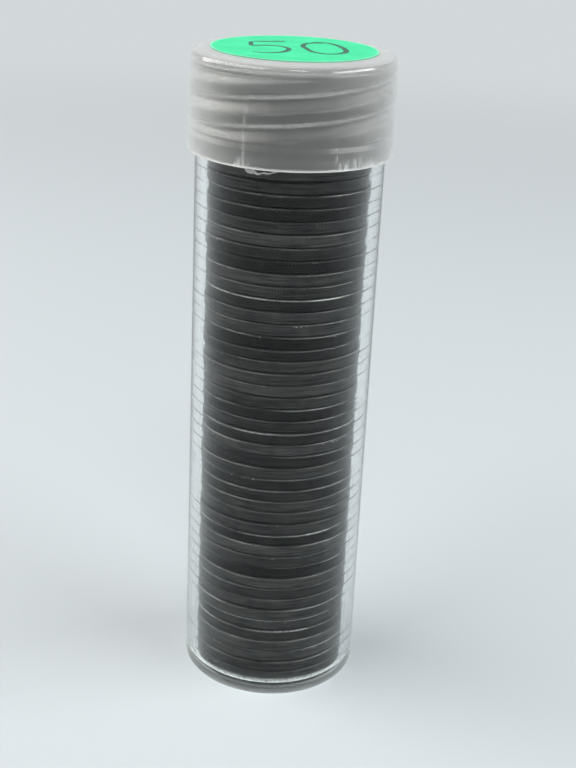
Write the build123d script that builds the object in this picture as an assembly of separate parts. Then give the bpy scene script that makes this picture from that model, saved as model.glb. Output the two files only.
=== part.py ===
from build123d import *

import math
import os

# Clear round coin tube with a screw cap, a round paper label and a full roll of small coins.
# Millimetres, +Z up. The origin is the centre of the underside, where the tube stands.
# An azimuth of 0 faces -Y, the front, and grows towards +X.

# Coins
coin_count = 50
coin_diameter = 19.05
coin_thickness = 1.495
coin_gap = 0.01
coin_rim_width = 0.95
coin_rim_slope = 0.15
coin_field_depth = 0.20
coin_edge_round = 0.20
coin_relief_height = 0.10
coin_ring_width = 0.30
coin_ring_inset = 0.55
coin_star_radius = 5.0
coin_star_points = 5
coin_star_waist = 0.42
coin_numeral_height = 8.0
coin_numeral_stroke = 1.5
coin_drift = 0.14
coin_turn_step = 137.5

# Tube
coin_side_clearance = 0.275
tube_wall = 1.20
floor_thickness = 1.40
floor_corner_round = 0.30
base_edge_round = 0.70
foot_ring_width = 2.4
foot_recess_depth = 0.25
foot_recess_slope = 0.25
coin_headroom = 1.35
lip_round = 0.15

# Neck and its outside thread
neck_wall = 0.50
neck_length = 9.4
shoulder_slope = 0.35
cap_lead_taper = 0.06
cap_lead_below = 0.60
thread_starts = 2
thread_pitch = 3.1
ridge_height = 0.55
ridge_root_width = 1.20
ridge_crest_width = 0.60
ridge_embed = 0.12
ridge_runout = 0.50
tube_ridge_low = 8.1
tube_ridge_high = 0.55
tube_ridge_front = 4.7

# Cap and its inside thread
thread_radial_clearance = 0.25
thread_axial_clearance = 0.25
cap_top_thickness = 1.05
cap_skirt_depth = 10.3
cap_skirt_wall = 0.71
cap_skirt_clearance = 0.25
cap_skirt_bell = 1.9
cap_draft = 0.10
cap_edge_round = 1.15
cap_rim_flare = 0.06
cap_rim_flare_height = 0.45
cap_rim_round = 0.12
cap_ridge_low = 7.6
cap_ridge_high = 0.30

# Label
label_diameter = 19.05
label_thickness = 0.10

# Sizes worked out from the ones above
front_direction = -90
coin_radius = coin_diameter / 2
bore_radius = coin_radius + coin_side_clearance
tube_radius = bore_radius + tube_wall
coin_step = coin_thickness + coin_gap
stack_height = coin_count * coin_step
tube_height = floor_thickness + stack_height + coin_headroom
shoulder_z = tube_height - neck_length
neck_radius = bore_radius + neck_wall
tube_crest_radius = neck_radius + ridge_height
foot_inner_radius = tube_radius - base_edge_round - foot_ring_width
foot_recess_radius = foot_inner_radius - foot_recess_slope
thread_lead = thread_starts * thread_pitch

cap_crest_radius = neck_radius + thread_radial_clearance
cap_bore_radius = tube_crest_radius + thread_radial_clearance
cap_bell_radius = tube_radius + cap_skirt_clearance
cap_rim_radius = max(cap_bell_radius, cap_bore_radius) + cap_skirt_wall
cap_skirt_radius = cap_rim_radius - cap_rim_flare
cap_top_radius = cap_skirt_radius - cap_draft
cap_rim_z = tube_height - cap_skirt_depth
cap_top_z = tube_height + cap_top_thickness
wall_end_z = shoulder_z - shoulder_slope
wall_lead_z = min(cap_rim_z, wall_end_z) - cap_lead_below


def turned(points_and_arcs):
    """A solid of revolution about Z from the closed outline, drawn as radius and height."""
    outline = make_face(points_and_arcs)
    return revolve(Plane.XZ * outline, Axis.Z)


def run(*points):
    """Straight edges through the points."""
    return Polyline(*points)


def corner(start, middle, end):
    """A quarter round from start to end, whose centre lies across from the sharp corner middle."""
    centre = (start[0] + end[0] - middle[0], start[1] + end[1] - middle[1])
    radius = math.dist(start, centre)
    reach = radius / math.dist(middle, centre)
    halfway = tuple(c + (m - c) * reach for c, m in zip(centre, middle))
    return ThreePointArc(start, halfway, end)


def ridge(root_radius, crest_radius, low_z, high_z, front_z):
    """One thread ridge, from low_z to high_z, whose middle passes azimuth 0 at height front_z."""
    outward = 1 if crest_radius > root_radius else -1
    foot_radius = root_radius - outward * ridge_embed
    flank = (ridge_root_width - ridge_crest_width) / 2 / ridge_height
    foot_width = ridge_root_width + 2 * flank * ridge_embed
    crest_width = ridge_root_width - 2 * flank * abs(crest_radius - root_radius)
    section = Polyline(
        (foot_radius, -foot_width / 2),
        (crest_radius, -crest_width / 2),
        (crest_radius, crest_width / 2),
        (foot_radius, foot_width / 2),
        close=True,
    )
    start_z = low_z - foot_width
    path = Helix(thread_lead, high_z + foot_width - start_z, root_radius)
    bar = sweep(Plane.XZ * make_face(section), path=path, is_frenet=True)
    start_azimuth = 360 * (start_z - front_z) / thread_lead
    bar = Pos(0, 0, start_z) * Rot(0, 0, front_direction + start_azimuth) * bar
    # The ends run out along cones that meet the wall at low_z and high_z.
    inside_wall = root_radius - outward * ridge_runout
    past_crest = crest_radius + outward * ridge_runout
    rise = abs(past_crest - root_radius)
    ends = Polyline(
        (inside_wall, low_z - ridge_runout),
        (past_crest, low_z + rise),
        (past_crest, high_z - rise),
        (inside_wall, high_z + ridge_runout),
        close=True,
    )
    return bar & turned(ends)


def ridges(*sizes):
    """The ridges of every start, spread evenly round the axis."""
    first = ridge(*sizes)
    return [Rot(0, 0, 360 * start / thread_starts) * first for start in range(thread_starts)]


def tube_body():
    outside = turned(
        [
            run(
                (0, foot_recess_depth),
                (foot_recess_radius, foot_recess_depth),
                (foot_inner_radius, 0),
                (tube_radius - base_edge_round, 0),
            ),
            corner((tube_radius - base_edge_round, 0), (tube_radius, 0), (tube_radius, base_edge_round)),
            run(
                (tube_radius, base_edge_round),
                (tube_radius, wall_lead_z),
                (tube_radius - cap_lead_taper, wall_end_z),
                (neck_radius, shoulder_z),
                (neck_radius, tube_height - lip_round),
            ),
            corner(
                (neck_radius, tube_height - lip_round),
                (neck_radius, tube_height),
                (neck_radius - lip_round, tube_height),
            ),
            run((neck_radius - lip_round, tube_height), (0, tube_height), (0, foot_recess_depth)),
        ]
    )
    hollow = turned(
        [
            run((0, floor_thickness), (bore_radius - floor_corner_round, floor_thickness)),
            corner(
                (bore_radius - floor_corner_round, floor_thickness),
                (bore_radius, floor_thickness),
                (bore_radius, floor_thickness + floor_corner_round),
            ),
            run(
                (bore_radius, floor_thickness + floor_corner_round),
                (bore_radius, tube_height + lip_round),
                (0, tube_height + lip_round),
                (0, floor_thickness),
            ),
        ]
    )
    thread = ridges(
        neck_radius,
        tube_crest_radius,
        tube_height - tube_ridge_low,
        tube_height - tube_ridge_high,
        tube_height - tube_ridge_front,
    )
    return (outside - hollow) + thread


def screw_cap():
    flare_top_z = cap_rim_z + cap_rim_flare_height
    outside = turned(
        [
            run((0, cap_rim_z), (cap_rim_radius - cap_rim_round, cap_rim_z)),
            corner(
                (cap_rim_radius - cap_rim_round, cap_rim_z),
                (cap_rim_radius, cap_rim_z),
                (cap_rim_radius, cap_rim_z + cap_rim_round),
            ),
            run(
                (cap_rim_radius, cap_rim_z + cap_rim_round),
                (cap_skirt_radius, flare_top_z),
                (cap_top_radius, cap_top_z - cap_edge_round),
            ),
            corner(
                (cap_top_radius, cap_top_z - cap_edge_round),
                (cap_top_radius, cap_top_z),
                (cap_top_radius - cap_edge_round, cap_top_z),
            ),
            run((cap_top_radius - cap_edge_round, cap_top_z), (0, cap_top_z), (0, cap_rim_z)),
        ]
    )
    bell_top_z = cap_rim_z + cap_skirt_bell
    bell_step = max(cap_bell_radius - cap_bore_radius, 0)
    hollow = turned(
        run(
            (0, cap_rim_z - cap_skirt_wall),
            (cap_bore_radius + bell_step, cap_rim_z - cap_skirt_wall),
            (cap_bore_radius + bell_step, bell_top_z),
            (cap_bore_radius, bell_top_z + bell_step),
            (cap_bore_radius, tube_height),
            (0, tube_height),
            (0, cap_rim_z - cap_skirt_wall),
        )
    )
    # The cap's ridges lie just under the tube's, as when the cap is screwed down.
    overlap_width = (ridge_root_width + ridge_crest_width) / 2
    front_z = tube_height - tube_ridge_front - overlap_width - thread_axial_clearance
    thread = ridges(
        cap_bore_radius,
        cap_crest_radius,
        tube_height - cap_ridge_low,
        tube_height - cap_ridge_high,
        front_z,
    )
    return (outside - hollow) + thread


def dot_label():
    disc = Cylinder(label_diameter / 2, label_thickness, align=(Align.CENTER, Align.CENTER, Align.MIN))
    return Pos(0, 0, cap_top_z) * disc


def blank_coin():
    """A struck disc with rounded edges, raised rims and flat fields, its underside at height 0."""
    rim_inner = coin_radius - coin_rim_width
    field_edge = rim_inner - coin_rim_slope
    top_field = coin_thickness - coin_field_depth
    flat_edge = coin_radius - coin_edge_round
    return turned(
        [
            run((0, coin_field_depth), (field_edge, coin_field_depth), (rim_inner, 0), (flat_edge, 0)),
            corner((flat_edge, 0), (coin_radius, 0), (coin_radius, coin_edge_round)),
            run((coin_radius, coin_edge_round), (coin_radius, coin_thickness - coin_edge_round)),
            corner(
                (coin_radius, coin_thickness - coin_edge_round),
                (coin_radius, coin_thickness),
                (flat_edge, coin_thickness),
            ),
            run(
                (flat_edge, coin_thickness),
                (rim_inner, coin_thickness),
                (field_edge, top_field),
                (0, top_field),
                (0, coin_field_depth),
            ),
        ]
    )


def star():
    """A plain star, flat on the XY plane."""
    corners = []
    for i in range(2 * coin_star_points):
        angle = math.radians(90 + 180 * i / coin_star_points)
        radius = coin_star_radius * (coin_star_waist if i % 2 else 1)
        corners.append((radius * math.cos(angle), radius * math.sin(angle)))
    return make_face(Polyline(*corners, close=True))


def numeral_one():
    """A plain numeral 1, flat on the XY plane, with a flag and a foot."""
    top = coin_numeral_height / 2
    stem = coin_numeral_stroke / 2
    foot = stem + coin_numeral_stroke
    corners = [
        (-foot, -top),
        (foot, -top),
        (foot, stem - top),
        (stem, stem - top),
        (stem, top),
        (-stem, top),
        (-foot, top - coin_numeral_stroke),
        (-stem, top - coin_numeral_stroke),
        (-stem, stem - top),
        (-foot, stem - top),
    ]
    return make_face(Polyline(*corners, close=True))


def coin():
    """A coin with a star and a ring on its upper face, and a numeral and a ring underneath."""
    ring_radius = coin_radius - coin_rim_width - coin_rim_slope - coin_ring_inset
    ring = Circle(ring_radius) - Circle(ring_radius - coin_ring_width)
    top_field = coin_thickness - coin_field_depth
    upper = Pos(0, 0, top_field) * extrude(ring + star(), coin_relief_height)
    low_field = Pos(0, 0, coin_field_depth) * Rot(180, 0, 0)
    lower = low_field * extrude(ring + numeral_one(), coin_relief_height)
    return blank_coin() + upper + lower


def stacked(blank, number):
    """The coin of that number, counted from the floor, turned and drifted a little off the axis."""
    turn = coin_turn_step * number
    loose = number not in (1, coin_count)
    drift = coin_drift * abs(math.sin(number * number)) if loose else 0
    height = floor_thickness + coin_gap + (number - 1) * coin_step
    side = Vector(drift, 0, 0).rotate(Axis.Z, turn)
    return Pos(side.X, side.Y, height) * Rot(0, 0, turn) * blank


def build():
    nodes = {"tube_body": tube_body(), "screw_cap": screw_cap(), "dot_label": dot_label()}
    blank = coin()
    for number in range(1, coin_count + 1):
        nodes[f"coin_{number:02d}"] = stacked(blank, number)
    return nodes


os.makedirs("parts", exist_ok=True)
for name, shape in build().items():
    export_step(shape, f"parts/{name}.step")
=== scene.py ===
import math
import random

import bmesh
import bpy
from mathutils import Matrix, Vector


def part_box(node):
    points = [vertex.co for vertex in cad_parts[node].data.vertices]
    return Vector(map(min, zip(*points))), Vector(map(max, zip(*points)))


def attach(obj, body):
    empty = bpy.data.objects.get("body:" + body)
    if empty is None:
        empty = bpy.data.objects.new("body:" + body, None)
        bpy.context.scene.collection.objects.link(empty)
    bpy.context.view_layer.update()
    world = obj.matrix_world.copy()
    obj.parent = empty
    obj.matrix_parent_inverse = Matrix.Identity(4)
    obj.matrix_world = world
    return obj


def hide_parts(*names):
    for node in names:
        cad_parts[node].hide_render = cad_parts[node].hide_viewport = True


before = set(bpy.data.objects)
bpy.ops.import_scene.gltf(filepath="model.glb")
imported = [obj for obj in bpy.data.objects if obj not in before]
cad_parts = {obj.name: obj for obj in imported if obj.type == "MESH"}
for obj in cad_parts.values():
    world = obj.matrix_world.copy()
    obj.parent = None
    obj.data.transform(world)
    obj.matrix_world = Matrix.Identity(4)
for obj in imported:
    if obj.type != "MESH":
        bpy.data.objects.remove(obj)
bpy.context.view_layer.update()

# Looks of a clear coin tube with a milky screw cap, a round green label and a roll of steel coins.
# Shapes are in millimetres, +Z up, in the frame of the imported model. Blender's own unit is the metre.
# An azimuth of 0 faces -Y, the front, and grows towards +X.
MM = 0.001

# Clear tube
TUBE_WALL = 1.20
TUBE_FLOOR = 1.40
FLOOR_CORNER_ROUND = 0.30
BASE_EDGE_ROUND = 0.70
FOOT_RING_WIDTH = 2.4
FOOT_RECESS_DEPTH = 0.25
FOOT_RECESS_SLOPE = 0.25
NECK_WALL = 0.50
NECK_LENGTH = 9.4
SHOULDER_SLOPE = 0.35
CAP_LEAD_TAPER = 0.06
CAP_LEAD_BELOW = 0.60
LIP_ROUND = 0.15
SOFT_EDGE = 0.06

# Thread on the tube's neck and inside the cap, rounder than in the solids
THREAD_PITCH = 3.1
THREAD_LEAD = 6.2
RIDGE_HEIGHT = 0.55
RIDGE_ROOT_WIDTH = 1.20
RIDGE_CREST_WIDTH = 0.60
SOFT_CREST_WIDTH = 0.2
STEEP_FLANK = 0.65
EASY_FLANK = 1.25
RUN_OUT_SLOPE = 0.7
RIDGE_ROW = 0.06
TUBE_RIDGE_LOW = 8.1
TUBE_RIDGE_HIGH = 0.55
TUBE_RIDGE_FRONT = 4.7
CAP_RIDGE_LOW = 7.6
CAP_RIDGE_HIGH = 0.30
THREAD_CLEARANCE = 0.25

# Milky cap
CAP_DRAFT = 0.10
CAP_EDGE_ROUND = 1.15
CAP_RIM_FLARE = 0.06
CAP_RIM_FLARE_HEIGHT = 0.45
CAP_RIM_ROUND = 0.12
CAP_SKIRT_BELL = 1.9
CAP_BELL_SLOPE = 4.0
CAP_SKIRT_CLEARANCE = 0.25
CEILING_ROUND = 0.3
SEAM_AZIMUTH = -25.5

# Moulding flash, a torn strand that hangs in a loop under the cap's rim
FLASH_FROM = -24.5
FLASH_TO = -6.0
FLASH_DROP = 0.44
FLASH_THICKNESS = 0.10
FLASH_HALF_WIDTH = 0.11
FLASH_STEPS = 76
FLASH_SEED = 11
FLASH_SAG_SKEW = 0.7
FLASH_SAG_ROUND = 0.6
FLASH_RIPPLE = 0.18
FLASH_RIPPLE_TURN = 19
FLASH_TEAR_PLACE = 0.2
FLASH_TEAR_REACH = 0.16
FLASH_TEAR_RISE = 1.8
FLASH_FRAY = 0.35
FLASH_FRAY_TURN = 23
FLASH_LOW_SHARE = 0.5
FLASH_RAGGED = (0.5, 1.3)

# Coins
COIN_COUNT = 50
COIN_TURN_STEP = 137.5
COIN_RIM_WIDTH = 0.95
COIN_RIM_SLOPE = 0.15
COIN_FIELD_DEPTH = 0.20
COIN_RELIEF = 0.10
COIN_RING_INSET = 0.55
COIN_RING_WIDTH = 0.30
COIN_STAR_RADIUS = 5.0
COIN_STAR_WAIST = 0.42
COIN_STAR_POINTS = 5
COIN_NUMERAL_HEIGHT = 8.0
COIN_NUMERAL_STROKE = 1.5
COIN_PITCH = 1.505

# Wear of the coins: sizes that vary from coin to coin, painted shade that blackens the lower edges where
# the coins meet, top edges rubbed bright that are partly a painted highlight, and a tone that varies at
# random and is painted darker towards the top of the roll
COIN_WEAR = 0.05
COIN_LOW_ROUND = (0.12, 0.26)
COIN_HIGH_ROUND = (0.08, 0.18)
COIN_NICKS = 7
NICK_WIDTH = (0.010, 0.035)
NICK_BITE = (0.02, 0.07)
NICK_TALL = 0.3
WIDE_GAPS = (14, 30, 43)
WIDE_GAP = 0.14
GAP_REACH = 0.16
PAINTED_SHADE_FULL = 0.13
PAINTED_SHADE_END = 0.25
RUB_AND_HIGHLIGHT_FULL = 0.09
RUB_AND_HIGHLIGHT_END = 0.20
TONE_LOW = 0.30
TONE_HIGH = 1.60
PAINTED_SHADE_TOWARDS_TOP = 0.25
POLISH_AND_HIGHLIGHT_LEVELS = (0.10, 0.16, 0.24, 0.34, 0.5)
POLISHED_AND_HIGHLIGHTED_COINS = {5: 0.9, 6: 1.0, 14: 1.0, 23: 0.7, 34: 0.8}

# Label, and the pen strokes of its number
LABEL_BORDER = 0.32
INK_THICKNESS = 0.012
INK_WIDTH = 0.66
INK_WOBBLE = 0.13
INK_SEED = 5
INK_PRESS = 0.5
INK_SWELL = 0.4
INK_SWELL_ROUND = 0.4
INK_TREMBLE = 0.10
INK_TREMBLE_TURN = 11
NUMBER_TILT = 8.0
FIVE_BAR = [(-0.5, 4.7), (-2.5, 4.3), (-4.4, 4.1)]
FIVE_NECK = [(-4.4, 4.1), (-4.8, 1.2), (-3.3, 1.5), (-1.5, 0.9)]
FIVE_BOWL = [(-0.8, -1.0), (-1.5, -3.1), (-3.2, -4.2), (-5.2, -3.6)]
ZERO_X = 3.4
ZERO_Y = 0.1
ZERO_HALF_WIDTH = 2.3
ZERO_HALF_HEIGHT = 4.1
ZERO_GROWTH = 0.03
ZERO_KNOTS = 15
ZERO_FROM = 80
ZERO_SWEEP = 392

# Colours, and the shares of light that the two plastics throw back and let through
CLEAR_DEEP = (0.925, 0.955, 0.952, 1)
CLEAR_PALE = (0.955, 0.974, 0.970, 1)
CLEAR_GLOSS = (0.22, 0.22, 0.22, 1)
CLEAR_PASSES = (0.93, 0.96, 0.955, 1)
MILKY_THIN = (0.77, 0.765, 0.745, 1)
MILKY_THICK = (0.95, 0.955, 0.94, 1)
MILKY_GLOSS = (0.55, 0.55, 0.55, 1)
MILKY_PASSES = (0.90, 0.91, 0.89, 1)
GREEN_DEEP = (0.035, 0.66, 0.29, 1)
GREEN_BRIGHT = (0.075, 0.88, 0.44, 1)
GREEN_PALE = (0.42, 0.90, 0.66, 1)
INK_DARK = (0.003, 0.045, 0.026, 1)
INK_THIN = (0.010, 0.17, 0.090, 1)
STEEL_DARK = (0.016, 0.017, 0.018, 1)
STEEL_LIGHT = (0.105, 0.108, 0.110, 1)
STEEL_BROWN = (0.058, 0.044, 0.036, 1)
STEEL_RUB_AND_HIGHLIGHT = (0.50, 0.50, 0.48, 1)

# Milk in the cap's wall, from 0 for clear to 1 for white, up one pitch of the thread and by zone; the peaks
# along the thread are painted highlights
THREAD_MILK_AND_PAINTED_LINES = (
    (0.00, 0.03),
    (0.06, 0.08),
    (0.112, 0.36),
    (0.16, 0.10),
    (0.36, 0.04),
    (0.53, 0.08),
    (0.59, 0.30),
    (0.64, 0.03),
    (0.85, 0.00),
)
MILK_CROWN = 0.16
MILK_TOP = 0.85
MILK_TORN = 0.45
MILK_RIM = 0.85
MILK_SCUFFS = 0.80
MILK_SEAM = 0.75
# Painted sheen: how pale the cap's wall is painted where it is seen at a slant, for light scattered along
# the longer way through it
PAINTED_SIDE_SHEEN = 0.95
PAINTED_SIDE_SHEEN_CURVE = 1.4
MILK_CLEAR_FROM = 0.31
MILKY_LETS_THROUGH = (0.965, 0.34)
MILKY_ROUGHNESS = (0.15, 0.23)
MILKY_INSIDE_ROUGHNESS = 0.38
MILKY_COAT = 0.9
MILKY_COAT_ROUGHNESS = 0.10
MILKY_LAMP_SHARE = 0.55
MILKY_IOR = 1.50
CLEAR_IOR = 1.49
CLEAR_LETS_THROUGH = (1.0, 0.25)

# Scuffs by the cap's rim: azimuths in radians where they start, are full, fade and end
RIGHT_SCUFFS = (0.22, 0.64, 0.88, 1.10)
LEFT_SCUFFS = (-0.60, -0.51, -0.45, -0.36)

# Round pieces are drawn with this many sides, and edges are smooth below these angles
SIDES = 256
COIN_SIDES = 160
ARC_STEPS = 7
PLAIN_SMOOTH = 35
THREAD_SMOOTH = 75

# Millimetres: how near a rounding its flat face is held, and how near two radii count as the same
HOLD = 0.05
SAME_RADIUS = 0.001

# Camera, placed as the photograph was taken: millimetres, degrees and pixels of a 576 x 768 picture
CAMERA_PLACE = (0.0, -153.92, 101.42)
CAMERA_YAW = 0.374
CAMERA_PITCH = 22.276
CAMERA_ROLL = 2.683
CAMERA_FOCAL_PX = 1344.6
PICTURE_HEIGHT_PX = 768
SENSOR_HEIGHT = 36.0
CLIP_NEAR = 0.005
CLIP_FAR = 20

# Studio, in metres: the place that the lamps face, and a floor that fades into the backdrop
AIM = (0.0, 0.0, 0.045)
FLOOR_HALF = 6.0
FLOOR_DARK = (0.63, 0.665, 0.685, 1)
FLOOR_LIGHT = (0.66, 0.695, 0.715, 1)
FLOOR_GRAIN = 0.004
FLOOR_ROUGHNESS = 0.7
FLOOR_GLOSS = 0.2
BACKDROP = (0.90, 0.95, 0.97, 1)
BACKDROP_STRENGTH = 0.72
WORLD_LIGHT = 0.36

# Lamps: place, line that the length follows, length and height in metres, watts and colour
LAMPS = {
    "key_light": ((-0.46, -0.02, 0.44), (-0.26, 0.80, -0.30), (0.90, 0.28), 3.3, (1.0, 0.985, 0.96)),
    "fill_light": ((0.52, -0.12, 0.40), (0.30, 0.80, 0.0), (0.60, 0.16), 2.5, (0.97, 0.985, 1.0)),
    "front_light": ((0.05, -0.42, 0.56), (1.0, 0.0, 0.0), (0.16, 0.12), 0.4, (1.0, 1.0, 1.0)),
    "top_light": ((-0.05, 0.20, 0.66), (1.0, 0.0, 0.0), (0.40, 0.30), 0.2, (1.0, 1.0, 1.0)),
}

# Millimetres: how far the floor lies below the foot, and where it starts and ends to fade
FLOOR_DROP = 0.03
FADE_NEAR = 180.0
FADE_FAR = 520.0


def size_of(node):
    """The lowest and highest corners of a CAD node, in millimetres."""
    low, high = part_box(node)
    return low / MM, high / MM


# Sizes taken from the frame
_, tube_high = size_of("tube_body")
cap_low, cap_high = size_of("screw_cap")
label_low, label_high = size_of("dot_label")
tube_radius = tube_high.x
tube_height = tube_high.z
bore_radius = tube_radius - TUBE_WALL
neck_radius = bore_radius + NECK_WALL
shoulder_z = tube_height - NECK_LENGTH
wall_end_z = shoulder_z - SHOULDER_SLOPE
cap_rim_radius = cap_high.x
cap_rim_z = cap_low.z
cap_top_z = cap_high.z
cap_skirt_radius = cap_rim_radius - CAP_RIM_FLARE
cap_top_radius = cap_skirt_radius - CAP_DRAFT
cap_bell_radius = tube_radius + CAP_SKIRT_CLEARANCE
cap_bore_radius = neck_radius + RIDGE_HEIGHT + THREAD_CLEARANCE
cap_ridge_front_z = (
    tube_height - TUBE_RIDGE_FRONT - (RIDGE_ROOT_WIDTH + RIDGE_CREST_WIDTH) / 2 - THREAD_CLEARANCE
)


# Mesh tools
def rounded(corners):
    """An outline through corners of radius, height and rounding, with each rounding drawn as an arc."""
    outline = [Vector(corners[0][:2])]
    for before, here, after in zip(corners, corners[1:], corners[2:]):
        tip = Vector(here[:2])
        rounding = here[2]
        if not rounding:
            outline.append(tip)
            continue
        back = (Vector(before[:2]) - tip).normalized()
        ahead = (Vector(after[:2]) - tip).normalized()
        half = back.angle(ahead) / 2
        reach = rounding / math.tan(half)
        centre = tip + (back + ahead).normalized() * rounding / math.sin(half)
        first = tip + back * reach - centre
        last = tip + ahead * reach - centre
        outline.append(tip + back * (reach + HOLD))
        for step in range(ARC_STEPS + 1):
            outline.append(centre + rounding * first.slerp(last, step / ARC_STEPS))
        outline.append(tip + ahead * (reach + HOLD))
    outline.append(Vector(corners[-1][:2]))
    return outline


def on_circle(radius, azimuth, height):
    """A point at a distance from the axis, an azimuth in radians and a height."""
    return Vector((radius * math.sin(azimuth), -radius * math.cos(azimuth), height))


def lathe(outline, sides, reshape=None):
    """Points and faces of an outline of radius and height, turned about Z, with both ends on the axis."""
    points = [Vector((0, 0, outline[0].y))]
    for ring in outline[1:-1]:
        for side in range(sides):
            azimuth = math.tau * side / sides
            radius = reshape(ring.x, azimuth, ring.y) if reshape else ring.x
            points.append(on_circle(radius, azimuth, ring.y))
    points.append(Vector((0, 0, outline[-1].y)))
    faces = []
    last_ring = 1 + sides * (len(outline) - 3)
    for side in range(sides):
        following = (side + 1) % sides
        faces.append((0, 1 + following, 1 + side))
        faces.append((last_ring + side, last_ring + following, len(points) - 1))
        for ring in range(1, last_ring, sides):
            faces.append((ring + side, ring + following, ring + sides + following, ring + sides + side))
    return points, faces


def prism(flat_outline, low_z, high_z, draft):
    """Points and faces of a flat outline raised from low_z to high_z, its top drawn in by the draft."""
    middle = sum(flat_outline, Vector((0, 0))) / len(flat_outline)
    count = len(flat_outline)
    points = [Vector((p.x, p.y, low_z)) for p in flat_outline]
    for p in flat_outline:
        inner = p - (p - middle).normalized() * draft
        points.append(Vector((inner.x, inner.y, high_z)))
    faces = [tuple(reversed(range(count))), tuple(range(count, 2 * count))]
    for i in range(count):
        j = (i + 1) % count
        faces.append((i, j, count + j, count + i))
    return points, faces


def joined(*solids):
    """Several sets of points and faces as one."""
    points, faces = [], []
    for some_points, some_faces in solids:
        start = len(points)
        points.extend(some_points)
        faces.extend(tuple(start + i for i in face) for face in some_faces)
    return points, faces


def piece(name, solid, material, body, nodes=(), smooth_below=PLAIN_SMOOTH):
    """A visible piece from points and faces in millimetres, riding on a body in place of CAD nodes."""
    points, faces = solid
    mesh = bpy.data.meshes.new(name)
    mesh.from_pydata([p * MM for p in points], [], faces)
    build = bmesh.new()
    build.from_mesh(mesh)
    bmesh.ops.recalc_face_normals(build, faces=build.faces)
    build.to_mesh(mesh)
    build.free()
    mesh.shade_smooth()
    mesh.set_sharp_from_angle(angle=math.radians(smooth_below))
    mesh.materials.append(material)
    obj = bpy.data.objects.new(name, mesh)
    bpy.context.scene.collection.objects.link(obj)
    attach(obj, body)
    if nodes:
        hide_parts(*nodes)
    return obj


def write_values(obj, name, values):
    """A number for each point of the mesh, which its material can read."""
    attribute = obj.data.attributes.new(name, "FLOAT", "POINT")
    attribute.data.foreach_set("value", values)


def ridge_stand(azimuth, z, front_z, low_z, high_z, under_flank):
    """How far the rounded thread stands off its wall at a place, running out at low_z and high_z."""
    climb = z - front_z - THREAD_LEAD * azimuth / math.tau
    from_middle = (climb + THREAD_PITCH / 2) % THREAD_PITCH - THREAD_PITCH / 2
    flank = under_flank if from_middle < 0 else STEEP_FLANK
    from_crest = max(0.0, abs(from_middle) - SOFT_CREST_WIDTH / 2)
    run_out = min(z - low_z, high_z - z) * RUN_OUT_SLOPE / RIDGE_HEIGHT
    share = max(0.0, min(1 - from_crest / flank, run_out, 1.0))
    return RIDGE_HEIGHT * share * share * (3 - 2 * share)


def ridge_rows(radius, low_z, high_z):
    """Closely spaced corners up a threaded wall."""
    count = round((high_z - low_z) / RIDGE_ROW)
    return [(radius, low_z + (high_z - low_z) * i / count, 0) for i in range(count + 1)]


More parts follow.
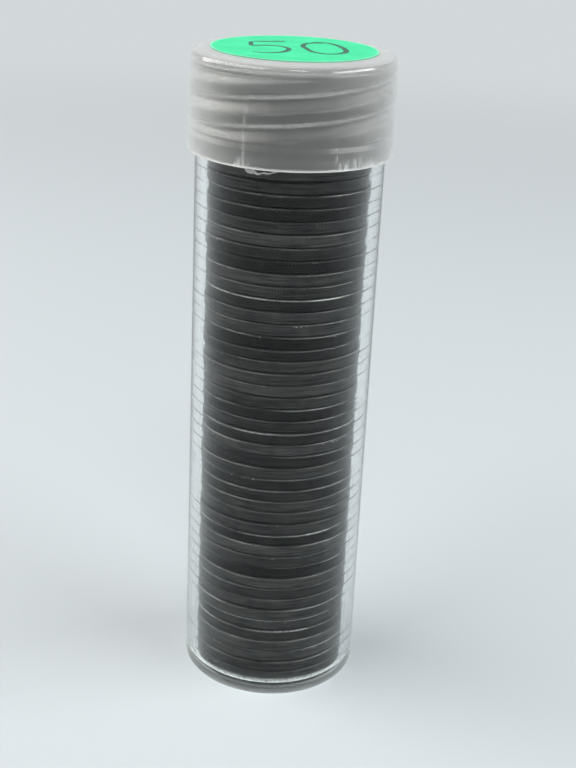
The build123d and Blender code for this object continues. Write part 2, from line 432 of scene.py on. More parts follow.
# Shader tools
class Nodes:
    """A node tree, with short ways to add nodes to it."""

    def __init__(self, tree):
        self.tree = tree

    def link(self, source, target):
        self.tree.links.new(source, target)

    def add(self, kind, inputs=None, **settings):
        """A node with these settings, and with its inputs set to values or linked to sockets."""
        node = self.tree.nodes.new(kind)
        for name, value in settings.items():
            setattr(node, name, value)
        for name, value in (inputs or {}).items():
            if isinstance(value, bpy.types.NodeSocket):
                self.link(value, node.inputs[name])
            else:
                node.inputs[name].default_value = value
        return node

    def math(self, operation, a, b=0.0):
        return self.add("ShaderNodeMath", {0: a, 1: b}, operation=operation).outputs[0]

    def times(self, a, b):
        return self.math("MULTIPLY", a, b)

    def plus(self, a, b):
        return self.math("ADD", a, b)

    def minus(self, a, b):
        return self.math("SUBTRACT", a, b)

    def most(self, *values):
        """The largest of several values."""
        largest = values[0]
        for value in values[1:]:
            largest = self.math("MAXIMUM", largest, value)
        return largest

    def kept(self, value):
        """A value kept between 0 and 1."""
        return self.add("ShaderNodeClamp", {0: value}).outputs[0]

    def over(self, value, share, start):
        """A share of the value, added to a start."""
        return self.plus(self.times(value, share), start)

    def blend_colours(self, share, a, b):
        return self.add("ShaderNodeMix", {0: share, 6: a, 7: b}, data_type="RGBA").outputs[2]

    def blend_numbers(self, share, a, b):
        return self.add("ShaderNodeMix", {0: share, 2: a, 3: b}, data_type="FLOAT").outputs[0]

    def scaled(self, vector, share):
        return self.add("ShaderNodeVectorMath", {0: vector, "Scale": share}, operation="SCALE").outputs[0]

    def ramp(self, value, *stops):
        """A number looked up in a ramp of places and levels."""
        node = self.add("ShaderNodeValToRGB", {0: value})
        elements = node.color_ramp.elements
        while len(elements) < len(stops):
            elements.new(0.5)
        for element, (place, level) in zip(elements, stops):
            element.position = place
            element.color = (level, level, level, 1)
        return node.outputs[0]

    def rise(self, value, start, end, low=0.0, high=1.0):
        """A smooth change from low to high while the value goes from start to end."""
        inputs = {0: value, 1: start, 2: end, 3: low, 4: high}
        return self.add("ShaderNodeMapRange", inputs, interpolation_type="SMOOTHSTEP").outputs[0]

    def window(self, value, start, full, fading, end):
        """1 where the value is between full and fading, falling to 0 at start and end."""
        return self.times(self.rise(value, start, full), self.rise(value, end, fading))

    def below(self, value, fading, end):
        """1 where the value is below fading, falling to 0 at end."""
        return self.rise(value, end, fading)

    def noise(self, vector, scale, detail=2.0, roughness=0.5):
        inputs = {"Vector": vector, "Scale": scale, "Detail": detail, "Roughness": roughness}
        return self.add("ShaderNodeTexNoise", inputs).outputs[0]

    def vector(self, x, y, z):
        return self.add("ShaderNodeCombineXYZ", {0: x, 1: y, 2: z}).outputs[0]

    def unrolled(self, azimuth, across, z, up):
        """A place on the unrolled wall, with its own scale across and up."""
        return self.vector(self.times(azimuth, across), self.times(z, up), 0.0)

    def places(self):
        """Azimuth in radians, height and distance from the axis in millimetres, and the place itself."""
        place = self.add("ShaderNodeTexCoord").outputs["Object"]
        in_mm = self.scaled(place, 1 / MM)
        x, y, z = self.add("ShaderNodeSeparateXYZ", {0: in_mm}).outputs
        azimuth = self.math("ARCTAN2", x, self.times(y, -1.0))
        square = self.plus(self.times(x, x), self.times(y, y))
        return azimuth, z, self.math("SQRT", square), in_mm

    def shown_rays(self):
        """1 for rays that show a backdrop, straight or in gloss and glass, and 0 for those that light."""
        path = self.add("ShaderNodeLightPath").outputs
        return self.most(path["Is Camera Ray"], path["Is Glossy Ray"], path["Is Transmission Ray"])


class Look(Nodes):
    """A new material, with its node tree, its main shader and its output."""

    def __init__(self, name):
        self.material = bpy.data.materials.new(name)
        self.material.use_nodes = True
        super().__init__(self.material.node_tree)
        self.shader = self.tree.nodes["Principled BSDF"]
        self.surface = self.tree.nodes["Material Output"].inputs["Surface"]

    def vary(self, name, value):
        """Links one of the shader's inputs to a value that changes over the piece."""
        self.link(value, self.shader.inputs[name])

    def fix(self, name, value):
        """Sets one of the shader's inputs to a value that is the same all over."""
        self.shader.inputs[name].default_value = value

    def attribute(self, name):
        return self.add("ShaderNodeAttribute", attribute_name=name).outputs["Fac"]

    def bump(self, height, strength, distance):
        inputs = {"Height": height, "Strength": strength, "Distance": distance * MM}
        self.vary("Normal", self.add("ShaderNodeBump", inputs).outputs[0])

    def pass_lamps(self, tint, share):
        """Lets that share of the lamps' light through a clear or milky wall."""
        path = self.add("ShaderNodeLightPath")
        clear = self.add("ShaderNodeBsdfTransparent", {"Color": tint})
        opened = self.times(path.outputs["Is Shadow Ray"], share)
        both = self.add("ShaderNodeMixShader", {0: opened, 1: self.shader.outputs[0], 2: clear.outputs[0]})
        self.link(both.outputs[0], self.surface)


# Materials
def clear_plastic():
    """Clear polystyrene with hairline scratches, rings rubbed by coin edges, and a frosted floor corner."""
    look = Look("clear_plastic")
    azimuth, z, radius, place = look.places()
    upright = look.noise(look.unrolled(azimuth, 40.0, z, 1.0), scale=0.8, detail=3.0, roughness=0.6)
    level = look.noise(look.unrolled(azimuth, 1.0, z, 6.0), scale=1.6, detail=4.0, roughness=0.6)
    haze = look.noise(place, scale=0.16, detail=2.0)
    grit = look.noise(place, scale=2.6, detail=3.0, roughness=0.6)
    hairlines = look.ramp(look.times(upright, level), (0.34, 0.0), (0.40, 1.0))
    by_wall = look.below(radius, bore_radius + 0.1, bore_radius + 0.2)
    in_bore = look.times(look.rise(radius, bore_radius - 1.0, bore_radius - 0.5), by_wall)
    over_coin = look.math("FRACT", look.math("DIVIDE", look.minus(z, TUBE_FLOOR), COIN_PITCH))
    coin_edges = look.ramp(over_coin, (0.0, 0.3), (0.06, 0.0), (0.84, 0.0), (0.95, 1.0))
    broken = look.ramp(level, (0.42, 0.0), (0.56, 1.0))
    stretches = look.noise(look.unrolled(azimuth, 0.9, z, 0.16), scale=1.0, detail=2.0)
    rings = look.times(coin_edges, look.times(broken, look.ramp(stretches, (0.39, 0.0), (0.52, 1.0))))
    scored = look.times(rings, in_bore)
    floor_band = look.window(z, TUBE_FLOOR - 0.4, TUBE_FLOOR - 0.15, TUBE_FLOOR + 0.45, TUBE_FLOOR + 0.95)
    floor_edge = look.rise(radius, bore_radius - 1.4, bore_radius - 0.6)
    corner = look.times(floor_band, look.times(floor_edge, by_wall))
    speckle = look.over(level, 0.4, look.times(grit, 0.6))
    frost = look.times(corner, look.ramp(speckle, (0.36, 0.20), (0.62, 0.66)))
    foot = look.times(look.below(z, 0.02, 0.12), look.over(level, 0.3, 0.15))
    edge_line = look.times(look.window(z, 0.05, 0.11, 0.20, 0.34), look.over(grit, 0.6, 0.10))
    dulled = look.times(look.below(z, 0.5, 1.6), look.over(haze, 0.05, 0.03))
    fogged = look.kept(look.plus(look.most(frost, foot, edge_line), dulled))
    look.vary("Base Color", look.blend_colours(haze, CLEAR_DEEP, CLEAR_PALE))
    look.vary("Transmission Weight", look.blend_numbers(fogged, *CLEAR_LETS_THROUGH))
    marks = look.plus(look.times(hairlines, 0.10), look.times(scored, 0.22))
    worn = look.plus(marks, look.times(fogged, 0.35))
    look.vary("Roughness", look.plus(worn, look.times(haze, 0.025)))
    look.fix("IOR", CLEAR_IOR)
    look.fix("Specular Tint", CLEAR_GLOSS)
    look.bump(look.plus(hairlines, look.times(scored, 2.0)), strength=0.12, distance=0.02)
    look.pass_lamps(CLEAR_PASSES, 1.0)
    return look.material


def milky_plastic():
    """Translucent cap plastic, with its thread showing through as pale lines that are partly painted
    highlights, a painted pale sheen at its sides, scuffs and streaks.
    """
    look = Look("milky_plastic")
    azimuth, z, radius, place = look.places()
    fine = look.noise(look.unrolled(azimuth, 1.1, z, 5.5), scale=1.0, detail=3.0, roughness=0.6)
    broad = look.noise(look.unrolled(azimuth, 1.6, z, 0.7), scale=1.0, detail=3.0)
    slow = look.noise(look.unrolled(azimuth, 2.0, z, 0.4), scale=1.0, detail=2.0)
    clouds = look.noise(place, scale=0.35, detail=3.0)

    # Pale bands along the thread, softer and fainter towards the rim: paler plastic where the thread
    # thickens the wall, with painted highlights for the bright lines that light makes at its flanks
    climb = look.times(azimuth, THREAD_LEAD / math.tau)
    over_ridge = look.minus(look.minus(z, cap_ridge_front_z), climb)
    wander = look.times(look.minus(slow, 0.5), 0.35)
    turns = look.math("DIVIDE", look.plus(over_ridge, wander), THREAD_PITCH)
    thread_milk_and_painted_lines = look.ramp(look.math("FRACT", turns), *THREAD_MILK_AND_PAINTED_LINES)
    threaded = look.window(z, cap_rim_z + 1.9, cap_rim_z + 3.0, tube_height - 1.6, tube_height - 0.6)
    fainter = look.rise(z, cap_rim_z + 3.0, tube_height - 2.0, 0.36, 1.0)
    thread = look.times(look.times(thread_milk_and_painted_lines, threaded), fainter)

    # A moulding seam, and upright scuffs by the rim
    from_seam = look.math("ABSOLUTE", look.minus(azimuth, math.radians(SEAM_AZIMUTH)))
    seam_height = look.window(z, cap_rim_z, cap_rim_z + 0.6, cap_rim_z + 6.0, cap_rim_z + 9.6)
    seam_line = look.times(look.below(from_seam, 0.003, 0.016), seam_height)
    seam = look.times(seam_line, look.times(broad, MILK_SEAM))
    upright = look.noise(look.unrolled(azimuth, 44.0, z, 0.35), scale=1.0, detail=1.0, roughness=0.6)
    right_scuffs = look.window(azimuth, *RIGHT_SCUFFS)
    left_scuffs = look.window(azimuth, *LEFT_SCUFFS)
    scuff_height = look.below(z, cap_rim_z + 0.1, cap_rim_z + 2.4)
    scuffed = look.times(look.most(right_scuffs, left_scuffs), scuff_height)
    scuffs = look.ramp(look.plus(upright, look.times(scuffed, 0.30)), (0.74, 0.0), (0.84, 1.0))

    # The white rim, the pale top, and a painted pale sheen at the sides, where the wall is seen at a slant
    # and the way through it is longer
    rim = look.window(z, cap_rim_z - 0.15, cap_rim_z - 0.02, cap_rim_z + 0.08, cap_rim_z + 0.26)
    torn = look.below(z, cap_rim_z - 0.10, cap_rim_z - 0.02)
    top = look.rise(z, tube_height + 0.20, cap_top_z - 0.10)
    crown = look.rise(z, tube_height - 3.2, tube_height - 1.4)
    # Painted sheen, set by the angle at which the wall is seen
    facing = look.add("ShaderNodeLayerWeight", {"Blend": 0.5}).outputs["Facing"]
    sides = look.times(look.math("POWER", facing, PAINTED_SIDE_SHEEN_CURVE), PAINTED_SIDE_SHEEN)
    upper = look.most(look.times(crown, MILK_CROWN), look.times(top, MILK_TOP))
    lower = look.most(look.times(torn, MILK_TORN), look.times(rim, MILK_RIM))
    # These marks, and so the milk, join the plastic's own milk, seam and scuffs with painted highlights
    # along the thread and a painted sheen at the sides
    marks = look.most(thread, upper, lower, sides, look.times(scuffs, MILK_SCUFFS), seam)
    grain = look.plus(look.times(fine, 0.14), look.times(broad, 0.24))
    mottled = look.plus(grain, look.times(clouds, 0.10))
    milk_and_painted_light = look.kept(look.plus(marks, look.minus(mottled, MILK_CLEAR_FROM)))
    look.vary("Base Color", look.blend_colours(milk_and_painted_light, MILKY_THIN, MILKY_THICK))
    look.vary("Transmission Weight", look.blend_numbers(milk_and_painted_light, *MILKY_LETS_THROUGH))
    inside = look.below(radius, cap_bell_radius + 0.1, cap_bell_radius + 0.3)
    frosted = look.times(inside, MILKY_INSIDE_ROUGHNESS)
    look.vary("Roughness", look.plus(look.blend_numbers(fine, *MILKY_ROUGHNESS), frosted))
    look.fix("IOR", MILKY_IOR)
    look.fix("Specular Tint", MILKY_GLOSS)
    look.fix("Coat Weight", MILKY_COAT)
    look.fix("Coat Roughness", MILKY_COAT_ROUGHNESS)
    look.bump(look.plus(look.times(fine, 0.5), look.times(scuffs, 0.6)), strength=0.08, distance=0.05)
    look.pass_lamps(MILKY_PASSES, MILKY_LAMP_SHARE)
    return look.material


def green_paper():
    """Fluorescent green paper with a fine fibre and a paler cut edge."""
    look = Look("green_paper")
    _, _, radius, place = look.places()
    fibre = look.noise(place, scale=5.0, detail=4.0, roughness=0.65)
    patches = look.noise(place, scale=0.28, detail=2.0)
    tone = look.plus(look.times(fibre, 0.5), look.times(patches, 0.5))
    green = look.blend_colours(look.ramp(tone, (0.3, 0.0), (0.7, 1.0)), GREEN_DEEP, GREEN_BRIGHT)
    edge = look.rise(radius, label_high.x - LABEL_BORDER, label_high.x - LABEL_BORDER * 0.6)
    look.vary("Base Color", look.blend_colours(look.times(edge, 0.55), green, GREEN_PALE))
    look.vary("Roughness", look.blend_numbers(fibre, 0.55, 0.75))
    look.fix("Specular IOR Level", 0.3)
    look.bump(fibre, strength=0.25, distance=0.03)
    return look.material


def pen_ink():
    """Dark green pen ink, thinner in places."""
    look = Look("pen_ink")
    place = look.places()[3]
    flow = look.noise(place, scale=1.3, detail=3.0, roughness=0.6)
    thin = look.ramp(flow, (0.35, 0.0), (0.65, 1.0))
    look.vary("Base Color", look.blend_colours(thin, INK_DARK, INK_THIN))
    look.vary("Roughness", look.blend_numbers(flow, 0.40, 0.60))
    return look.material


def coin_steel():
    """Dull dark steel with fine level lines and browner patches, painted shade at the gaps between coins,
    and rubbed bright top edges that are partly a painted highlight.
    """
    look = Look("coin_steel")
    azimuth, z, radius, place = look.places()
    edge = look.attribute("edge")
    wall = look.vector(look.times(azimuth, 2.2), look.times(z, 6.0), radius)
    lines = look.noise(wall, scale=1.0, detail=4.0, roughness=0.65)
    patches = look.noise(place, scale=0.42, detail=3.0, roughness=0.6)
    grit = look.noise(place, scale=3.2, detail=3.0, roughness=0.6)
    stretch = look.noise(look.unrolled(azimuth, 1.3, z, 2.0), scale=1.0, detail=2.0)
    grey = look.blend_colours(look.ramp(lines, (0.34, 0.0), (0.66, 1.0)), STEEL_DARK, STEEL_LIGHT)
    brown = look.blend_colours(look.times(patches, 0.6), grey, STEEL_BROWN)
    clean = look.ramp(patches, (0.30, 0.50), (0.70, 1.0))
    # Painted shade: each coin's edge is blackened near its bottom, where it meets the coin below
    painted_gap_shade = look.times(edge, look.below(look.attribute("rise"), PAINTED_SHADE_FULL, PAINTED_SHADE_END))
    shade = look.times(look.times(look.attribute("tone"), clean), look.minus(1.0, painted_gap_shade))
    gritty = look.ramp(grit, (0.34, 0.25), (0.60, 1.0))
    patchy = look.times(gritty, look.ramp(stretch, (0.38, 0.12), (0.62, 1.0)))
    # Rubbed bright metal only along each coin's top edge: partly wear, partly a painted highlight where
    # light from above catches the edge
    near_top = look.below(look.attribute("drop"), RUB_AND_HIGHLIGHT_FULL, RUB_AND_HIGHLIGHT_END)
    at_top = look.times(near_top, look.over(edge, 0.75, 0.25))
    rubbed_and_painted_highlight = look.times(look.times(look.attribute("polish_and_highlight"), at_top), patchy)
    look.vary("Base Color", look.blend_colours(rubbed_and_painted_highlight, look.scaled(brown, shade), STEEL_RUB_AND_HIGHLIGHT))
    look.vary("Roughness", look.blend_numbers(grit, 0.34, 0.56))
    look.fix("Metallic", 1.0)
    look.bump(look.plus(lines, look.times(grit, 0.6)), strength=0.22, distance=0.03)
    return look.material


# Pieces
def clear_tube(material):
    """The tube with its floor, foot ring and threaded neck."""
    lead_z = min(cap_rim_z, wall_end_z) - CAP_LEAD_BELOW
    foot_inner = tube_radius - BASE_EDGE_ROUND - FOOT_RING_WIDTH
    ridge_low = tube_height - TUBE_RIDGE_LOW
    ridge_high = tube_height - TUBE_RIDGE_HIGH
    corners = [
        (0, FOOT_RECESS_DEPTH),
        (foot_inner - FOOT_RECESS_SLOPE, FOOT_RECESS_DEPTH, SOFT_EDGE),
        (foot_inner, 0, SOFT_EDGE),
        (tube_radius, 0, BASE_EDGE_ROUND),
        (tube_radius, lead_z, 0),
        (tube_radius - CAP_LEAD_TAPER, wall_end_z, SOFT_EDGE),
        (neck_radius, shoulder_z, SOFT_EDGE),
        *ridge_rows(neck_radius, shoulder_z + 4 * SOFT_EDGE, tube_height - 2 * LIP_ROUND),
        (neck_radius, tube_height, LIP_ROUND),
        (bore_radius, tube_height, LIP_ROUND),
        (bore_radius, TUBE_FLOOR, FLOOR_CORNER_ROUND),
        (0, TUBE_FLOOR),
    ]

    def threaded(radius, azimuth, z):
        if abs(radius - neck_radius) > SAME_RADIUS:
            return radius
        front_z = tube_height - TUBE_RIDGE_FRONT
        return radius + ridge_stand(azimuth, z, front_z, ridge_low, ridge_high, STEEP_FLANK)

    solid = lathe(rounded(corners), SIDES, threaded)
    piece("clear_tube", solid, material, "tube", ["tube_body"], THREAD_SMOOTH)


def milky_cap(material):
    """The screw cap with its inside thread."""
    ridge_low = tube_height - CAP_RIDGE_LOW
    ridge_high = tube_height - CAP_RIDGE_HIGH
    bell_top = cap_rim_z + CAP_SKIRT_BELL
    bell_rise = CAP_BELL_SLOPE * (cap_bell_radius - cap_bore_radius)
    corners = [
        (0, cap_top_z),
        (cap_top_radius, cap_top_z, CAP_EDGE_ROUND),
        (cap_skirt_radius, cap_rim_z + CAP_RIM_FLARE_HEIGHT, 4 * SOFT_EDGE),
        (cap_rim_radius, cap_rim_z, CAP_RIM_ROUND),
        (cap_bell_radius, cap_rim_z, CAP_RIM_ROUND),
        (cap_bell_radius, bell_top, SOFT_EDGE),
        (cap_bore_radius, bell_top + bell_rise, SOFT_EDGE),
        *ridge_rows(cap_bore_radius, bell_top + bell_rise + 3 * SOFT_EDGE, tube_height - 2 * CEILING_ROUND),
        (cap_bore_radius, tube_height, CEILING_ROUND),
        (0, tube_height),
    ]

    def threaded(radius, azimuth, z):
        if abs(radius - cap_bore_radius) > SAME_RADIUS:
            return radius
        return radius - ridge_stand(azimuth, z, cap_ridge_front_z, ridge_low, ridge_high, EASY_FLANK)

    solid = lathe(rounded(corners), SIDES, threaded)
    piece("milky_cap", solid, material, "cap", ["screw_cap"], THREAD_SMOOTH)


def strip(sections):
    """Points and faces of a closed strip through sections of four points each."""
    points = [point for section in sections for point in section]
    last = len(points) - 4
    faces = [(0, 1, 2, 3), (last + 3, last + 2, last + 1, last)]
    for start in range(0, last, 4):
        for side in range(4):
            following = (side + 1) % 4
            faces.append((start + side, start + following, start + 4 + following, start + 4 + side))
    return points, faces


def rim_flash(material):
    """The torn strand of plastic that hangs from one stretch of the cap's rim."""
    draw = random.Random(FLASH_SEED)
    middle_radius = (cap_bell_radius + cap_rim_radius) / 2
    inner = middle_radius - FLASH_THICKNESS / 2
    outer = middle_radius + FLASH_THICKNESS / 2
    sections = []
    for step in range(FLASH_STEPS + 1):
        share = step / FLASH_STEPS
        azimuth = math.radians(FLASH_FROM + (FLASH_TO - FLASH_FROM) * share)
        sag = math.sin(math.pi * share**FLASH_SAG_SKEW) ** FLASH_SAG_ROUND
        hang = FLASH_DROP * sag * (1 + FLASH_RIPPLE * math.sin(FLASH_RIPPLE_TURN * share))
        tear = math.exp(-(((share - FLASH_TEAR_PLACE) / FLASH_TEAR_REACH) ** 2))
        frayed = max(0.0, tear + FLASH_FRAY * math.sin(FLASH_FRAY_TURN * share) * share)
        ragged = draw.uniform(*FLASH_RAGGED)
        high_z = cap_rim_z - hang + FLASH_HALF_WIDTH * (1.0 + FLASH_TEAR_RISE * frayed)
        low_z = cap_rim_z - hang - FLASH_HALF_WIDTH * (FLASH_LOW_SHARE + frayed) * ragged
        corners = ((inner, high_z), (outer, high_z), (outer, low_z), (inner, low_z))
        sections.append([on_circle(radius, azimuth, z) for radius, z in corners])
    piece("rim_flash", strip(sections), material, "cap")


def paper_dot(material):
    """The round label, thinner by the ink that lies on it."""
    top_z = label_high.z - INK_THICKNESS
    corners = [
        (0, label_low.z),
        (label_high.x, label_low.z, SOFT_EDGE / 3),
        (label_high.x, top_z, SOFT_EDGE / 2),
        (label_high.x - LABEL_BORDER, top_z, 0),
        (0, top_z),
    ]
    solid = lathe(rounded(corners), SIDES)
    piece("paper_dot", solid, material, "cap", ["dot_label"])


def smooth_path(knots, steps=10):
    """Points on a smooth curve through the knots."""
    path = []
    padded = [2 * knots[0] - knots[1], *knots, 2 * knots[-1] - knots[-2]]
    for a, b, c, d in zip(padded, padded[1:], padded[2:], padded[3:]):
        for step in range(steps):
            t = step / steps
            slope = (c - a) * t
            bend = (2 * a - 5 * b + 4 * c - d) * t**2
            twist = (3 * b - a - 3 * c + d) * t**3
            path.append((2 * b + slope + bend + twist) / 2)
    path.append(knots[-1])
    return path


def pen_stroke(path, low_z, high_z):
    """Points and faces of one flat pen stroke, with an uneven press."""
    sections = []
    last = len(path) - 1
    for i, here in enumerate(path):
        along = (path[min(i + 1, last)] - path[max(i - 1, 0)]).normalized()
        swell = INK_SWELL * math.sin(math.pi * i / last) ** INK_SWELL_ROUND
        press = INK_PRESS + swell + INK_TREMBLE * math.sin(INK_TREMBLE_TURN * i / last)
        side = Vector((-along.y, along.x)) * INK_WIDTH / 2 * press
        left = here + side
        right = here - side
        corners = ((left, low_z), (right, low_z), (right, high_z), (left, high_z))
        sections.append([Vector((edge.x, edge.y, z)) for edge, z in corners])
    return strip(sections)


def label_number(material):
    """The count of coins, 50, written by pen on the label."""
    draw = random.Random(INK_SEED)
    zero = []
    for step in range(ZERO_KNOTS):
        angle = math.radians(ZERO_FROM + ZERO_SWEEP * step / (ZERO_KNOTS - 1))
        half_height = ZERO_HALF_HEIGHT + ZERO_GROWTH * step
        zero.append((ZERO_X + ZERO_HALF_WIDTH * math.cos(angle), ZERO_Y + half_height * math.sin(angle)))
    turn = Matrix.Rotation(math.radians(NUMBER_TILT), 2)
    low_z = label_high.z - 2 * INK_THICKNESS
    strokes = []
    for knots in (FIVE_BAR, FIVE_NECK + FIVE_BOWL, zero):
        shaken = []
        for x, y in knots:
            wobble = Vector((draw.uniform(-1, 1), draw.uniform(-1, 1))) * INK_WOBBLE
            shaken.append(turn @ Vector((x, y)) + wobble)
        strokes.append(pen_stroke(smooth_path(shaken), low_z, label_high.z))
    piece("label_number", joined(*strokes), material, "cap")


def star_outline():
    """Corners of the star on a coin's upper face."""
    corners = []
    for i in range(2 * COIN_STAR_POINTS):
        angle = math.radians(90 + 180 * i / COIN_STAR_POINTS)
        radius = COIN_STAR_RADIUS * (COIN_STAR_WAIST if i % 2 else 1)
        corners.append(Vector((radius * math.cos(angle), radius * math.sin(angle))))
    return corners


def numeral_outline():
    """Corners of the numeral 1 on a coin's underside."""
    top = COIN_NUMERAL_HEIGHT / 2
    stem = COIN_NUMERAL_STROKE / 2
    foot = stem + COIN_NUMERAL_STROKE
    heel = stem - top
    flag = top - COIN_NUMERAL_STROKE
    right = [(-foot, -top), (foot, -top), (foot, heel), (stem, heel), (stem, top)]
    left = [(-stem, top), (-foot, flag), (-stem, flag), (-stem, heel), (-foot, heel)]
    return [Vector(p) for p in right + left]


def coin_outline(radius, thickness, low_round, high_round):
    """Half a struck coin from the middle of its underside to the middle of its upper face."""
    rim_inner = radius - COIN_RIM_WIDTH
    field_edge = rim_inner - COIN_RIM_SLOPE
    ring_outer = field_edge - COIN_RING_INSET
    ring_inner = ring_outer - COIN_RING_WIDTH
    slope = COIN_RELIEF / 2
    soft = SOFT_EDGE / 3

    def face(field, rise):
        raised = field + rise
        return [
            (ring_inner, field, 0),
            (ring_inner + slope, raised, 0),
            (ring_outer - slope, raised, 0),
            (ring_outer, field, 0),
            (field_edge, field, soft),
        ]

    low_field = COIN_FIELD_DEPTH
    high_field = thickness - COIN_FIELD_DEPTH
    under = face(low_field, -COIN_RELIEF)
    over = face(high_field, COIN_RELIEF)
    edge = [
        (rim_inner, 0, soft),
        (radius, 0, low_round),
        (radius, thickness, high_round),
        (rim_inner, thickness, soft),
    ]
    return rounded([(0, low_field), *under, *edge, *reversed(over), (0, high_field)])


def steel_coin(number, material):
    """One coin of the roll, a little worn in its own way."""
    node = f"coin_{number:02d}"
    low, high = size_of(node)
    draw = random.Random(number)
    wide_gap = WIDE_GAP if number in WIDE_GAPS else 0
    thickness = high.z - low.z - draw.uniform(0.0, COIN_WEAR) - wide_gap
    radius = (high.x - low.x) / 2 - draw.uniform(0.0, COIN_WEAR)
    low_round = draw.uniform(*COIN_LOW_ROUND)
    high_round = draw.uniform(*COIN_HIGH_ROUND)
    nicks = []
    for _ in range(COIN_NICKS):
        place = draw.uniform(0, math.tau)
        width = draw.uniform(*NICK_WIDTH)
        bite = draw.uniform(*NICK_BITE)
        nicks.append((place, width, bite, draw.random() * thickness))

    def nicked(ring_radius, azimuth, z):
        if ring_radius < radius - high_round - low_round:
            return ring_radius
        depth = 0.0
        for place, width, bite, height in nicks:
            apart = (azimuth - place + math.pi) % math.tau - math.pi
            depth += bite * math.exp(-((apart / width) ** 2) - ((z - height) / NICK_TALL) ** 2)
        return ring_radius - depth

    disc = lathe(coin_outline(radius, thickness, low_round, high_round), COIN_SIDES, nicked)
    half_relief = COIN_RELIEF / 2
    field = thickness - COIN_FIELD_DEPTH
    star = prism(star_outline(), field - half_relief, field + COIN_RELIEF, half_relief)
    under = COIN_FIELD_DEPTH
    one, one_faces = prism(numeral_outline(), under + half_relief, under - COIN_RELIEF, half_relief)
    mirrored = [Vector((-p.x, p.y, p.z)) for p in one]
    points, faces = joined(disc, star, (mirrored, one_faces))
    turn = Matrix.Rotation(math.radians(COIN_TURN_STEP * number), 3, "Z")
    middle = Vector(((low.x + high.x) / 2, (low.y + high.y) / 2, low.z))
    body = "top_coin" if number == COIN_COUNT else node
    placed = [turn @ p + middle for p in points]
    obj = piece(f"steel_coin_{number:02d}", (placed, faces), material, body, [node])
    # How strongly each coin's top edge is rubbed bright and painted as a highlight
    polish_and_highlight = POLISHED_AND_HIGHLIGHTED_COINS.get(number, draw.choice(POLISH_AND_HIGHLIGHT_LEVELS))
    # Painted shade: coins grow darker towards the top of the roll, where less light reaches them, over a
    # tone that varies at random
    tone = draw.uniform(TONE_LOW, TONE_HIGH) * (1 - PAINTED_SHADE_TOWARDS_TOP * number / COIN_COUNT)
    edge_start = radius - low_round - GAP_REACH
    write_values(obj, "tone", [tone] * len(points))
    write_values(obj, "polish_and_highlight", [polish_and_highlight] * len(points))
    # The bottom coin gets no painted gap shade
    write_values(obj, "rise", [p.z if number > 1 else PAINTED_SHADE_END for p in points])
    write_values(obj, "drop", [thickness - p.z for p in points])
    write_values(obj, "edge", [float(math.hypot(p.x, p.y) > edge_start) for p in points])


# Studio
def pale_floor():
    """A pale floor that takes the object's shadow and fades far off into the backdrop."""
    look = Look("pale_floor")
    _, _, radius, place = look.places()
    grain = look.noise(place, scale=FLOOR_GRAIN, detail=3.0)
    look.vary("Base Color", look.blend_colours(grain, FLOOR_DARK, FLOOR_LIGHT))
    look.fix("Roughness", FLOOR_ROUGHNESS)
    look.fix("Specular IOR Level", FLOOR_GLOSS)
    share = look.times(look.rise(radius, FADE_NEAR, FADE_FAR), look.shown_rays())
    glow = look.add("ShaderNodeEmission", {"Color": BACKDROP, "Strength": BACKDROP_STRENGTH})
    both = look.add("ShaderNodeMixShader", {0: share, 1: look.shader.outputs[0], 2: glow.outputs[0]})
    look.link(both.outputs[0], look.surface)
    half = FLOOR_HALF
    corners = [(-half, -half), (half, -half), (half, half), (-half, half)]
    mesh = bpy.data.meshes.new("pale_floor")
    mesh.from_pydata([(x, y, -FLOOR_DROP * MM) for x, y in corners], [], [(0, 1, 2, 3)])
    mesh.materials.append(look.material)
    floor = bpy.data.objects.new("pale_floor", mesh)
    bpy.context.scene.collection.objects.link(floor)


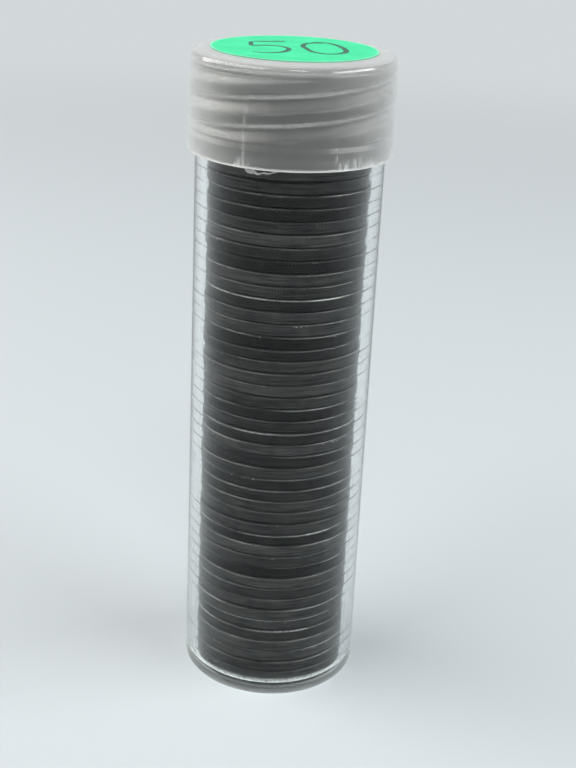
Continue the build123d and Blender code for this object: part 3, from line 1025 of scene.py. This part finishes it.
def softbox(name, place, along, size, power, colour):
    """A flat lamp of a length along a line and a height, facing the object."""
    lamp = bpy.data.lights.new(name, "AREA")
    lamp.shape = "RECTANGLE"
    lamp.size, lamp.size_y = size
    lamp.energy = power
    lamp.color = colour
    back = (Vector(place) - Vector(AIM)).normalized()
    across = Vector(along)
    across = (across - back * across.dot(back)).normalized()
    obj = bpy.data.objects.new(name, lamp)
    turn = Matrix((across, back.cross(across), back)).transposed().to_4x4()
    obj.matrix_world = Matrix.Translation(place) @ turn
    bpy.context.scene.collection.objects.link(obj)


def studio_light():
    """The lamps, and a world that is paler where it shows than where it lights."""
    for name, settings in LAMPS.items():
        softbox(name, *settings)
    world = bpy.data.worlds.new("studio")
    bpy.context.scene.world = world
    world.use_nodes = True
    sky = Nodes(world.node_tree)
    background = world.node_tree.nodes["Background"]
    background.inputs["Color"].default_value = BACKDROP
    strength = sky.blend_numbers(sky.shown_rays(), WORLD_LIGHT, BACKDROP_STRENGTH)
    sky.link(strength, background.inputs["Strength"])


def photo_camera():
    """The camera, standing and turned as the photograph's was."""
    yaw, pitch, roll = (math.radians(v) for v in (CAMERA_YAW, CAMERA_PITCH, CAMERA_ROLL))
    forward = Vector((math.sin(yaw) * math.cos(pitch), math.cos(yaw) * math.cos(pitch), -math.sin(pitch)))
    level_right = Vector((math.cos(yaw), -math.sin(yaw), 0))
    level_up = level_right.cross(forward)
    right = level_right * math.cos(roll) + level_up * math.sin(roll)
    up = level_up * math.cos(roll) - level_right * math.sin(roll)
    lens = bpy.data.cameras.new("photo_camera")
    lens.sensor_fit = "VERTICAL"
    lens.sensor_height = SENSOR_HEIGHT
    lens.lens = CAMERA_FOCAL_PX / PICTURE_HEIGHT_PX * SENSOR_HEIGHT
    lens.clip_start = CLIP_NEAR
    lens.clip_end = CLIP_FAR
    camera = bpy.data.objects.new("photo_camera", lens)
    turn = Matrix((right, up, -forward)).transposed().to_4x4()
    camera.matrix_world = Matrix.Translation(Vector(CAMERA_PLACE) * MM) @ turn
    bpy.context.scene.collection.objects.link(camera)
    bpy.context.scene.camera = camera


clear_look = clear_plastic()
milky_look = milky_plastic()
steel_look = coin_steel()
clear_tube(clear_look)
milky_cap(milky_look)
rim_flash(milky_look)
paper_dot(green_paper())
label_number(pen_ink())
for coin_number in range(1, COIN_COUNT + 1):
    steel_coin(coin_number, steel_look)
pale_floor()
studio_light()
photo_camera()
bpy.context.scene.view_settings.view_transform = "Standard"
